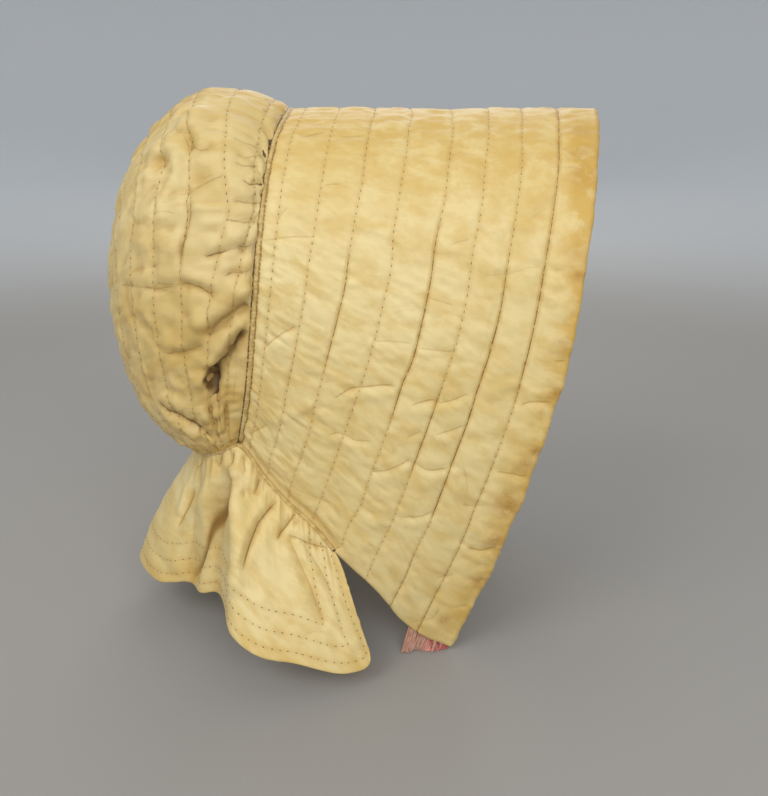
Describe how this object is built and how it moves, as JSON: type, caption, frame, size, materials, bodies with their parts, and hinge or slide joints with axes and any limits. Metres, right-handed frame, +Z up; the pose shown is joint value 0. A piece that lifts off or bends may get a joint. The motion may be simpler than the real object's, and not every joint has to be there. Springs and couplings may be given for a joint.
{
  "type": "quilted hood",
  "caption": "Quilted silk hood with a deep channel-stitched brim, a gathered quilted crown and a neck curtain.",
  "frame": {"origin": "where the top of the head meets the inside of the brim, on the middle plane 15 mm ahead of the crown seam", "axes": "+X out of the face opening, +Y to the wearer's left, +Z up"},
  "size_m": [0.2833, 0.231, 0.3219],
  "materials": {
    "brim_silk": "straw-gold silk, soft sheen",
    "crown_silk": "straw-gold silk, slightly faded",
    "curtain_silk": "straw-gold silk, soft sheen",
    "piping_silk": "covered cord, worn",
    "ribbon": "faded peach satin, frayed"
  },
  "bodies": {
    "root": {"brim": "brim_silk", "crown": "crown_silk", "curtain": "curtain_silk", "crown_piping": "piping_silk", "neck_piping": "piping_silk", "tie_right": "ribbon", "tie_left": "ribbon"}
  },
  "joints": []
}
